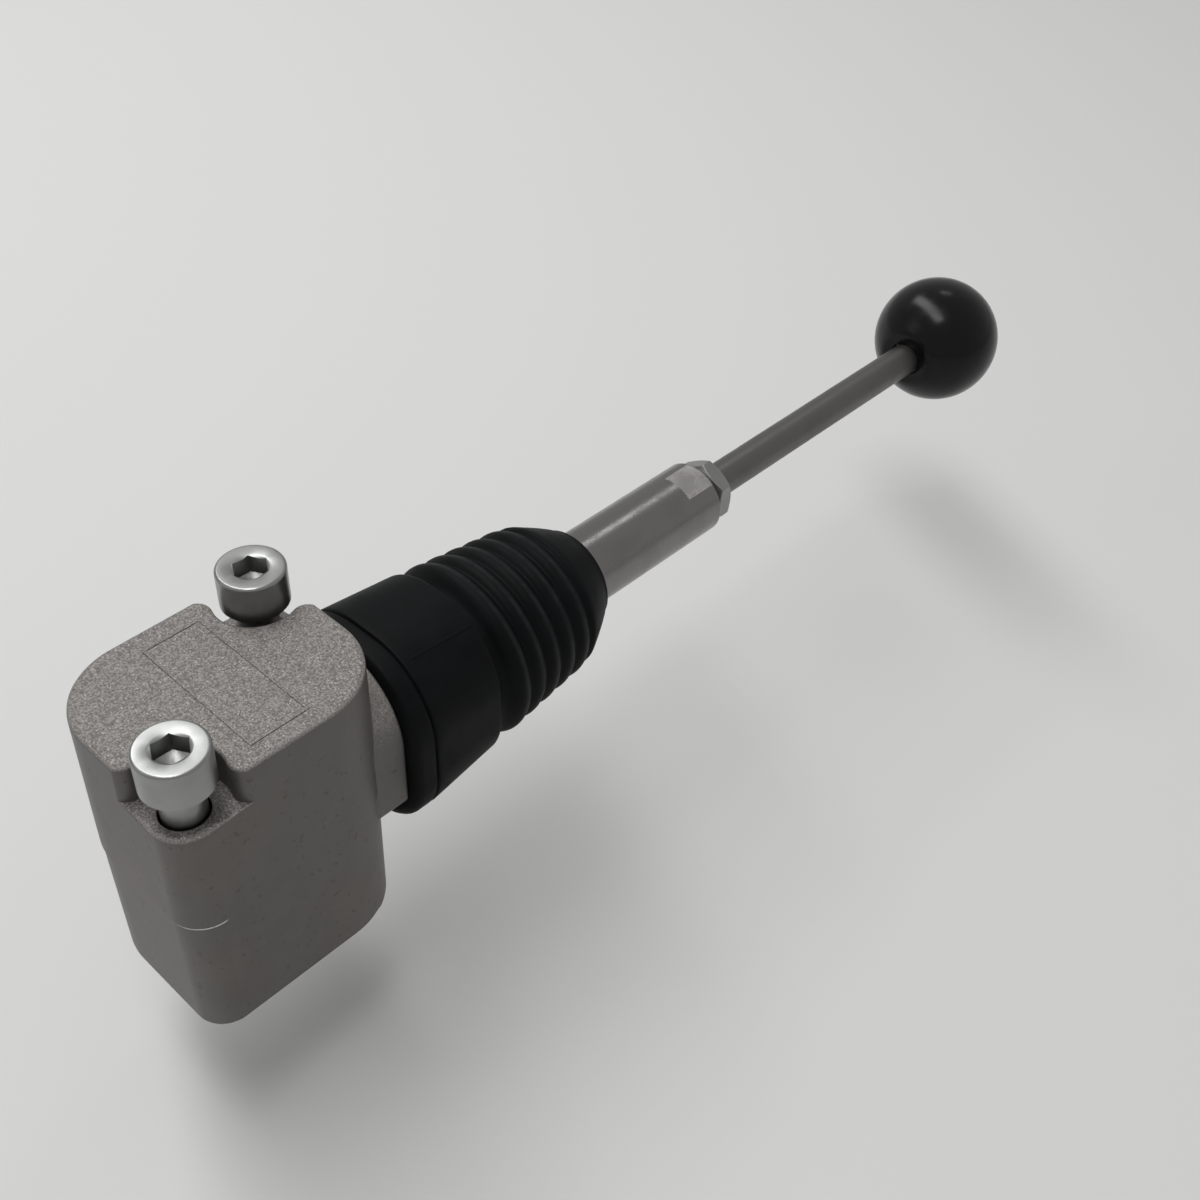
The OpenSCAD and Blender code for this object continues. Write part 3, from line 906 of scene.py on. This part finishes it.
@dataclass
class CapScrew:
    """Socket-head cap screw with a hexagon socket and a cut thread.

    All sizes are in millimetres. The crest's span is in shares of the pitch. The pairs of
    drilled are depths below the socket's flats with shares of its half width.
    """

    finishes: Finishes
    thread_d: float = 8.0
    core_d: float = 6.65
    pitch: float = 1.25
    thread_l: float = 28.0
    thread_start: float = 0.5
    crest_span: tuple[float, float] = (0.45, 0.58)
    first_crest: float = 0.35
    tip_edge: float = 0.4
    runout: float = 0.7
    neck_r: float = 0.35
    under_head: float = 60.02
    head_d: float = 13.0
    head_h: float = 7.98
    foot_edge: float = 0.3
    head_r: float = 0.6
    flats: float = 6.0
    lead_in: float = 0.3
    lead_deg: float = 60.0
    socket_h: float = 4.0
    drilled: tuple[tuple[float, float], ...] = ((0.25, 0.86), (1.0, 0.0))
    segments: int = 96

    def build(self, name: str, node: str, body: str, place: tuple[float, float]) -> None:
        """Makes one screw and sets it in its hole.

        Args:
            name: Name of the new piece.
            node: CAD node that it stands for.
            body: Body that it moves with.
            place: Its X and Y, in millimetres.
        """
        bm = self.outside()
        self.cut_socket(bm)
        bmesh.ops.translate(bm, vec=(*place, 0), verts=bm.verts)
        screw = finish_mesh(bm, name)
        settle_normals(screw)
        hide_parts(node)
        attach(screw, body)
        self.finishes.dress(screw, Slot.ZINC)
        log.info("%s: %d faces", name, len(screw.data.polygons))

    def outside(self) -> Mesh:
        """Turns the shank and head, open at the socket's rim.

        Returns:
            The turned mesh along Z, from the tip at zero.
        """
        thread, core, head = self.thread_d / 2, self.core_d / 2, self.head_d / 2
        top = self.under_head + self.head_h
        turns = int(self.thread_l / self.pitch)
        low, high = self.crest_span
        profile = [(0.0, 0.0), (core - self.tip_edge, 0.0)]
        for turn in range(turns):
            base = self.thread_start + turn * self.pitch
            crest = thread - (self.first_crest if turn == 0 else 0.0)
            profile += [(core, base), (crest, base + low * self.pitch), (crest, base + high * self.pitch)]
        shank = self.thread_start + turns * self.pitch
        profile += [(core, shank), (thread, shank + self.runout), (thread, self.under_head - self.neck_r)]
        for turn in quarter(3):
            out, down = self.neck_r * (1 - math.cos(turn)), self.neck_r * (1 - math.sin(turn))
            profile.append((thread + out, self.under_head - down))
        profile += [(head - self.foot_edge, self.under_head), (head, self.under_head + self.foot_edge)]
        for turn in quarter(5):
            inwards, down = self.head_r * (1 - math.cos(turn)), self.head_r * (1 - math.sin(turn))
            profile.append((head - inwards, top - down))
        profile.append((self.socket_rim(), top))
        return spun(profile, self.segments)

    def socket_rim(self) -> float:
        """Gives the radius of the socket's lead-in at the head's top."""
        return self.flats / 2 / math.cos(math.radians(30)) + self.lead_in

    def cut_socket(self, bm: Mesh) -> None:
        """Sinks the hexagon socket from its open rim, with a lead-in and a drilled floor.

        Args:
            bm: The turned mesh, changed in place.
        """
        top = self.under_head + self.head_h
        steps = [(0.0, 1.0), (self.socket_h, 1.0)]
        steps += [(self.socket_h + deeper, share) for deeper, share in self.drilled]
        edges = [edge for edge in bm.edges if edge.is_boundary]
        for depth, share in steps:
            ring, edges = grow_ring(bm, edges)
            for vert in ring:
                turn = math.atan2(vert.co.y, vert.co.x)
                sixth = (turn % math.radians(60)) - math.radians(30)
                reach = self.flats / 2 / math.cos(sixth) if share == 1.0 else self.flats / 2 * share
                lead = (self.socket_rim() - reach) / math.tan(math.radians(self.lead_deg))
                sunk = top - (lead if depth == 0.0 else depth)
                vert.co = Vector((reach * math.cos(turn), reach * math.sin(turn), sunk))
        bmesh.ops.remove_doubles(bm, verts=bm.verts, dist=1e-3)
        bmesh.ops.recalc_face_normals(bm, faces=bm.faces)


# --- The rubber boot -------------------------------------------------------------------


@dataclass
class Boot:
    """Rubber boot: flange on the boss, smooth body, folds, and a collar on the hub.

    All sizes are in millimetres. A triple is an outline's half width, half height and corner
    radius. The pairs of back and slit are distances along the lever with the outline's inset.
    Those of valley are distances with a radius, and those of swells are shares of the
    collar's length with how far it stands out from a plain cone.
    """

    finishes: Finishes
    axis_z: float = 32.5
    seat_z: float = 31.0
    body_z: float = 31.95
    fold_z: float = 32.05
    flange_z: float = 31.6
    base_x: float = 26.25
    lip_x: float = 31.0
    body_x: float = 49.5
    crest_x: float = 55.3
    end_x: float = 87.55
    neck_hole: Triple = (11.85, 17.6, 6.1)
    bead: Triple = (13.35, 19.1, 7.6)
    bead_x: tuple[float, float] = (29.65, 32.35)
    bead_mouth: Triple = (14.0, 19.4, 10.0)
    bead_mouth_z: float = 31.4
    bead_steps: tuple[float, float] = (0.05, 0.4)
    flange: Triple = (19.45, 21.0, 16.5)
    back: tuple[tuple[float, float], ...] = (
        (0.0, 2.0), (0.10, 1.75), (0.45, 0.95), (0.85, 0.40), (1.25, 0.10), (1.7, 0.0),
    )
    slit: tuple[tuple[float, float], ...] = (
        (-0.9, 0.0), (-0.4, 0.0), (-0.16, 0.07), (-0.03, 0.20), (0.06, 0.40), (0.28, 0.48),
        (0.52, 0.38), (0.62, 0.18), (0.78, 0.05),
    )
    slit_middle: float = 0.28
    slit_half: float = 0.26
    slit_extra: float = 0.35
    slit_fade_z: tuple[float, float] = (15.0, 23.0)
    flange_wall: float = 1.5
    body_start: float = 1.05
    body_end: Triple = (18.2, 20.2, 17.2)
    body_inside: Triple = (16.2, 18.2, 15.2)
    body_inside_x: float = 47.5
    body_steps: int = 14
    edge_r: float = 1.1
    valley: tuple[tuple[float, float], ...] = ((0.55, 17.0), (1.3, 16.6), (2.2, 16.8), (3.0, 17.5))
    valley_inside: float = 15.0
    valley_inside_x: tuple[float, float] = (48.3, 50.0)
    pitch: float = 4.68
    folds: int = 5
    fold_steps: int = 14
    crest_r: float = 19.3
    taper: float = 0.5
    fold_depth: float = 1.35
    fold_wall: float = 1.6
    skin: float = 0.3
    # Shift and sharpness of the pale line on the crests, which is rub wear and painted highlight.
    rub_and_highlight_shift: float = 0.06
    rub_and_highlight_power: int = 18
    crease: tuple[float, float] = (0.3, 0.25)
    swells: tuple[tuple[float, float], ...] = (
        (0.03, 0.50), (0.07, 0.88), (0.12, 1.08), (0.25, 1.02), (0.45, 0.90), (0.65, 0.72), (0.85, 0.42),
    )
    collar_r: float = 11.0
    end_r: float = 1.0
    bore_r: float = 8.75
    bore_x: tuple[float, float] = (77.56, 80.56)
    bend_mm: tuple[float, float] = (40.0, 79.0)
    segments: int = 168

    def build(self) -> None:
        """Makes the boot."""
        bm = lofted(self.base() + self.body() + self.bellows() + self.collar() + self.inside(), self.segments)
        self.deepen_slit(bm)
        self.mark_crests(bm)
        boot = finish_mesh(bm, "rubber_boot", sharp_deg=60.0)
        self.finishes.dress(boot, Slot.BOOT)
        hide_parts("boot")
        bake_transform(boot)
        log.info("boot: %d faces", len(boot.data.polygons))

    def deepen_slit(self, bm: Mesh) -> None:
        """Sinks the slit beside the flange, except low down where the wall is thin.

        Args:
            bm: The boot's mesh in millimetres, changed in place.
        """
        middle = Vector((0.0, 0.0, self.flange_z))
        wall = self.flange[0] - self.flange_wall
        low, high = self.slit_fade_z
        for vert in bm.verts:
            off = abs(vert.co.x - self.lip_x - self.slit_middle)
            outward = Vector((0.0, vert.co.y, vert.co.z)) - middle
            if off < self.slit_half and outward.length > wall:
                share = min(1.0, max(0.0, (vert.co.z - low) / (high - low)))
                vert.co -= outward.normalized() * self.slit_extra * share

    def mark_crests(self, bm: Mesh) -> None:
        """Marks the outer wall's crests, which get a pale line of rub wear and painted highlight.

        Args:
            bm: The boot's mesh in millimetres, given a value on each point.
        """
        crest = bm.verts.layers.float.new("crest")
        for vert in bm.verts:
            along = (vert.co.x - self.crest_x) / self.pitch
            radius = math.hypot(vert.co.y, vert.co.z - self.fold_z)
            if -0.5 < along < self.folds - 0.4 and radius > self.fold_r(along) - self.skin:
                vert[crest] = abs(math.cos(math.pi * (along - self.rub_and_highlight_shift))) ** self.rub_and_highlight_power

    def rim(self, x: float, inset: float) -> Section:
        """Gives the flange's outline, taken in by a distance.

        Args:
            x: Where it lies along the lever.
            inset: How far it is taken in.

        Returns:
            The section.
        """
        half_w, half_h, corner = self.flange
        return Section(x, half_w - inset, half_h - inset, corner - inset, self.flange_z)

    def base(self) -> list[Section]:
        """Gives the face on the boss, the flange's rounded back, its rim and the slit.

        Returns:
            Sections from the neck's opening to the slit's far side.
        """
        sections = [Section(self.base_x, *self.neck_hole, self.seat_z)]
        sections += [self.rim(self.base_x + along, inset) for along, inset in self.back]
        sections += [self.rim(self.lip_x + along, inset) for along, inset in self.slit]
        return sections

    def body(self) -> list[Section]:
        """Gives the smooth body, from the slit to its far edge.

        Returns:
            Sections of the body's outside.
        """
        near = self.rim(self.lip_x + self.body_start, 0.0)
        far = Section(self.body_x, *self.body_end, self.body_z)
        sections = [near.blend(far, step / self.body_steps) for step in range(self.body_steps - 1)]
        edge = far.blend(near, self.edge_r / (self.body_x - self.lip_x))
        sections.append(edge)
        for turn in quarter(6)[1:]:
            inset = self.edge_r * (1 - math.cos(turn))
            half_w, half_h, corner = edge.half_w - inset, edge.half_h - inset, edge.corner - inset
            sections.append(
                Section(edge.x + self.edge_r * math.sin(turn), half_w, half_h, corner, edge.middle_z)
            )
        return sections

    def fold_r(self, along: float) -> float:
        """Gives the folded wall's radius.

        Args:
            along: Folds on from the first crest; whole numbers are crests.

        Returns:
            The outer radius.
        """
        crest = self.crest_r - self.taper * along
        swell = abs(math.cos(math.pi * along))
        return crest - self.fold_depth * (1.0 - swell) ** 1.25

    def bellows(self) -> list[Section]:
        """Gives the broad valley and the folds.

        Returns:
            Sections from the body's far edge to the last crease.
        """
        sections = [Section.round(self.body_x + on, radius, self.fold_z) for on, radius in self.valley]
        for fold in range(self.folds):
            for step in range(self.fold_steps):
                along = fold - 0.5 + (step + 0.5) / self.fold_steps
                sections.append(self.fold_section(along, self.fold_r(along)))
        return sections

    def fold_section(self, along: float, radius: float) -> Section:
        """Gives a round section of the folds.

        Args:
            along: Folds on from the first crest.
            radius: Its radius.

        Returns:
            The section.
        """
        return Section.round(self.crest_x + along * self.pitch, radius, self.fold_z)

    def collar(self) -> list[Section]:
        """Gives the cone that grips the hub.

        Returns:
            Sections of the collar's outside, rounded over its end.
        """
        last = self.folds - 0.5
        past, prouder = self.crease
        start_x = self.crest_x + last * self.pitch + past
        start_r = self.fold_r(last) + prouder
        sections = [Section.round(start_x, start_r, self.fold_z)]
        for share, swell in self.swells:
            x = start_x + (self.end_x - self.end_r - start_x) * share
            radius = start_r + (self.collar_r - start_r) * share + swell
            middle_z = self.fold_z + (self.axis_z - self.fold_z) * share
            sections.append(Section.round(x, radius, middle_z))
        for turn in quarter(5):
            x = self.end_x - self.end_r + self.end_r * math.sin(turn)
            radius = self.collar_r - self.end_r * (1 - math.cos(turn))
            sections.append(Section.round(x, radius, self.axis_z))
        sections.append(Section.round(self.end_x, self.bore_r, self.axis_z))
        return sections

    def inside(self) -> list[Section]:
        """Gives the inner wall, back from the collar to the base.

        Returns:
            Sections that end where the base begins.
        """
        cone_x, bore_x = self.bore_x
        cone_r = self.fold_r(self.folds - 0.5) - self.fold_wall
        bead_start, bead_end = self.bead_x
        before, after = self.bead_steps
        sections = [
            Section.round(bore_x, self.bore_r, self.axis_z), Section.round(cone_x, cone_r, self.axis_z)
        ]
        for fold in reversed(range(self.folds)):
            for step in (0.75, 0.5, 0.25, 0.0):
                along = fold - 0.5 + step
                sections.append(self.fold_section(along, self.fold_r(along) - self.fold_wall))
        near_x, far_x = self.valley_inside_x
        sections += [
            Section.round(far_x, self.valley_inside, self.axis_z),
            Section.round(near_x, self.valley_inside, self.axis_z),
            Section(self.body_inside_x, *self.body_inside, self.body_z),
            Section(bead_end + after, *self.bead_mouth, self.bead_mouth_z),
            Section(bead_end, *self.bead, self.seat_z),
            Section(bead_start, *self.bead, self.seat_z),
            Section(bead_start - before, *self.neck_hole, self.seat_z),
            Section(self.base_x, *self.neck_hole, self.seat_z),
        ]
        return sections


# --- The handle ------------------------------------------------------------------------


@dataclass
class Handle:
    """Hub, rod and nut, and the fastenings inside, which keep their CAD shapes."""

    frame: dict
    finishes: Finishes
    axis_z: float = 32.5
    slots: dict[str, Slot] = field(
        default_factory=lambda: {
            "lock_nut": Slot.PLAIN,
            "lever_arm": Slot.HARDENED,
            "eye_bush": Slot.BRONZE,
            "pivot_pin": Slot.HARDENED,
            "washer_near": Slot.PLAIN,
            "washer_far": Slot.PLAIN,
            "retainer_plate": Slot.PLAIN,
            "plate_screw_a": Slot.PLAIN,
            "plate_screw_b": Slot.PLAIN,
            "plate_screw_c": Slot.PLAIN,
            "plate_screw_d": Slot.PLAIN,
            "knob_insert": Slot.BRASS,
        }
    )

    def build(self) -> None:
        """Rounds the edges of the hub and the nut, and dresses the other pieces."""
        self.eased("hub", "turned_hub", Slot.SATIN, 0.18, 5.6)
        self.eased("rod_nut", "thin_nut", Slot.ZINC, 0.12, 5.0)
        self.finishes.dress_node(self.frame["nodes"]["rod"], self.finishes.drawn)
        for node, slot in self.slots.items():
            self.finishes.dress_node(self.frame["nodes"][node], self.finishes.by_slot[slot])
            log.info("%s: dressed in %s", node, slot.value)

    def eased(self, node: str, name: str, slot: Slot, radius: float, clear_r: float) -> None:
        """Makes one piece of the lever with its outer edges rounded.

        Args:
            node: CAD node that it stands for.
            name: Name of the new piece.
            slot: Its material slot.
            radius: Radius of the rounding.
            clear_r: Edges nearer the lever's axis than this stay as they are.
        """

        def outside(edge: Edge) -> bool:
            """Tells whether an edge is an outer sharp one."""
            clear = all(math.hypot(vert.co.y, vert.co.z - self.axis_z) > clear_r for vert in edge.verts)
            return clear and edge.is_convex and edge.calc_face_angle(0.0) > math.radians(18)

        piece = eased_copy(self.frame["nodes"][node], name, [(outside, radius, 2)])
        settle_normals(piece)
        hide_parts(node)
        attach(piece, "lever")
        self.finishes.dress(piece, slot)
        log.info("%s: %d faces", name, len(piece.data.polygons))


@dataclass
class BallKnob:
    """Ball knob with a flat round the mouth that takes the rod.

    All sizes are in millimetres. The pairs of the two edges are distances from the mouth's
    and from the flat's radius, each with a height above the flat.
    """

    finishes: Finishes
    ball_d: float = 32.0
    flat_d: float = 14.0
    flat_x: float = 211.0
    rod_d: float = 8.0
    mouth_gap: float = 0.15
    mouth_h: float = 1.5
    insert_d: float = 11.0
    insert_l: float = 13.0
    mouth_edge: tuple[tuple[float, float], ...] = ((0.0, 0.3), (0.1, 0.1), (0.3, 0.0))
    flat_edge: tuple[tuple[float, float], ...] = ((0.45, 0.0), (0.2, 0.03), (0.0, 0.12))
    axis_z: float = 32.5
    arc_steps: int = 72
    segments: int = 160

    def build(self) -> None:
        """Turns the knob and sets it on the rod."""
        radius = self.ball_d / 2
        flat_h = math.sqrt(radius**2 - (self.flat_d / 2) ** 2)
        start = math.asin(self.flat_d / 2 / radius)
        mouth = self.rod_d / 2 + self.mouth_gap
        seat = self.insert_d / 2
        floor = self.mouth_h + self.insert_l
        profile = [(0.0, floor), (seat, floor), (seat, self.mouth_h), (mouth, self.mouth_h)]
        profile += [(mouth + out, height) for out, height in self.mouth_edge]
        profile += [(self.flat_d / 2 - inwards, height) for inwards, height in self.flat_edge]
        for step in range(1, self.arc_steps + 1):
            turn = start + (math.pi - start) * step / self.arc_steps
            profile.append((radius * math.sin(turn), flat_h - radius * math.cos(turn)))
        profile[-1] = (0.0, flat_h + radius)
        bm = spun(profile, self.segments)
        bmesh.ops.recalc_face_normals(bm, faces=bm.faces)
        along_lever(bm, self.flat_x, self.axis_z)
        knob = finish_mesh(bm, "ball_knob", sharp_deg=40.0)
        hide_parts("knob")
        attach(knob, "lever")
        self.finishes.dress(knob, Slot.PHENOLIC)
        log.info("knob: %d faces", len(knob.data.polygons))


# --- The studio ------------------------------------------------------------------------


@dataclass(frozen=True)
class Softbox:
    """A rectangular lamp that hangs level or leans towards a point."""

    name: str
    place: Triple
    size: tuple[float, float]
    watts: float
    aim: Triple | None = None
    turn_deg: float = 0.0


@dataclass
class Studio:
    """Pale floor, soft light from above and the photograph's view."""

    floor_colour: Colour = (0.80, 0.80, 0.79)
    floor_z: float = -33.05
    floor_half: float = 6000.0
    world_level: float = 0.32
    backdrop_level: float = 0.46
    lamps: tuple[Softbox, ...] = (
        Softbox("overhead softbox", (0.07, 0.52, 1.20), (0.34, 1.80), 11.0, turn_deg=-23.0),
        Softbox("far strip", (1.00, 0.385, 1.20), (0.30, 0.10), 0.5, aim=(0.10, 0.0, 0.03)),
        Softbox("left fill", (-0.75, 0.55, 0.75), (0.50, 0.50), 0.4, aim=(0.05, 0.0, 0.03)),
    )
    lens_mm: float = 45.743
    sensor_mm: float = 36.0
    nearest_mm: float = 5.0
    eye_mm: Triple = (-93.49, -172.18, 246.627)
    view: tuple[Triple, Triple, Triple] = (
        (0.690151, 0.464494, -0.554921),
        (-0.723063, 0.473877, -0.502613),
        (0.029503, 0.748122, 0.662905),
    )

    def build(self) -> None:
        """Sets the floor, the world, the lamps and the camera."""
        self.floor()
        self.world()
        for softbox in self.lamps:
            self.hang(softbox)
        self.camera()
        bpy.context.scene.view_settings.view_transform = "Standard"

    def floor(self) -> None:
        """Lays the pale floor just below the lowest place that the swinging knob reaches."""
        bm = bmesh.new()
        bmesh.ops.create_grid(bm, x_segments=1, y_segments=1, size=self.floor_half)
        bmesh.ops.translate(bm, vec=(0, 0, self.floor_z), verts=bm.verts)
        floor = finish_mesh(bm, "studio_floor")
        g = Graph("pale floor")
        g.set(Base_Color=self.floor_colour, Roughness=0.85, Specular_IOR_Level=0.2)
        floor.data.materials.append(g.material)

    def world(self) -> None:
        """Lights the room evenly, and shows a pale backdrop to the camera and the metal."""
        world = bpy.data.worlds.new("room")
        world.use_nodes = True
        bpy.context.scene.world = world
        tree = world.node_tree
        tree.nodes.clear()
        output = tree.nodes.new("ShaderNodeOutputWorld")
        mix = tree.nodes.new("ShaderNodeMixShader")
        room = tree.nodes.new("ShaderNodeBackground")
        shown = tree.nodes.new("ShaderNodeBackground")
        room.inputs["Strength"].default_value = self.world_level
        shown.inputs["Strength"].default_value = self.backdrop_level
        for backdrop in (room, shown):
            backdrop.inputs["Color"].default_value = (1.0, 1.0, 1.0, 1.0)
        path = tree.nodes.new("ShaderNodeLightPath")
        seen = path.outputs["Is Camera Ray"]
        for ray in ("Is Glossy Ray", "Is Transmission Ray"):
            either = tree.nodes.new("ShaderNodeMath")
            either.operation = "MAXIMUM"
            tree.links.new(seen, either.inputs[0])
            tree.links.new(path.outputs[ray], either.inputs[1])
            seen = either.outputs[0]
        tree.links.new(seen, mix.inputs["Fac"])
        tree.links.new(room.outputs[0], mix.inputs[1])
        tree.links.new(shown.outputs[0], mix.inputs[2])
        tree.links.new(mix.outputs[0], output.inputs["Surface"])

    def hang(self, softbox: Softbox) -> None:
        """Hangs one soft lamp.

        Args:
            softbox: The lamp's place, size and power.
        """
        light = bpy.data.lights.new(softbox.name, "AREA")
        light.shape = "RECTANGLE"
        light.size, light.size_y = softbox.size
        light.energy = softbox.watts
        lamp = bpy.data.objects.new(softbox.name, light)
        lamp.location = softbox.place
        if softbox.aim is None:
            lamp.rotation_euler = (0.0, 0.0, math.radians(softbox.turn_deg))
        else:
            away = Vector(softbox.aim) - Vector(softbox.place)
            lamp.rotation_euler = away.to_track_quat("-Z", "Y").to_euler()
        bpy.context.scene.collection.objects.link(lamp)

    def camera(self) -> None:
        """Sets the camera where the photograph was taken from."""
        data = bpy.data.cameras.new("photograph")
        data.lens = self.lens_mm
        data.sensor_width = self.sensor_mm
        data.clip_start = self.nearest_mm * MM
        camera = bpy.data.objects.new("photograph", data)
        camera.matrix_world = Matrix.Translation(Vector(self.eye_mm) * MM) @ Matrix(self.view).to_4x4()
        bpy.context.scene.collection.objects.link(camera)
        bpy.context.scene.camera = camera


def main() -> None:
    """Builds the looks round the frame, piece by piece."""
    logging.basicConfig(level=logging.INFO, format="%(name)s: %(message)s")
    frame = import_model()
    finishes = Finishes()
    box = LeverBox(frame, finishes)
    box.build()
    screw = CapScrew(finishes)
    screw.build("near_screw", "cap_screw_near", "screw_near", (-box.screw_x, -box.screw_y))
    screw.build("far_screw", "cap_screw_far", "screw_far", (box.screw_x, box.screw_y))
    Boot(finishes).build()
    Handle(frame, finishes).build()
    BallKnob(finishes).build()
    Studio().build()


if __name__ == "__main__":
    main()
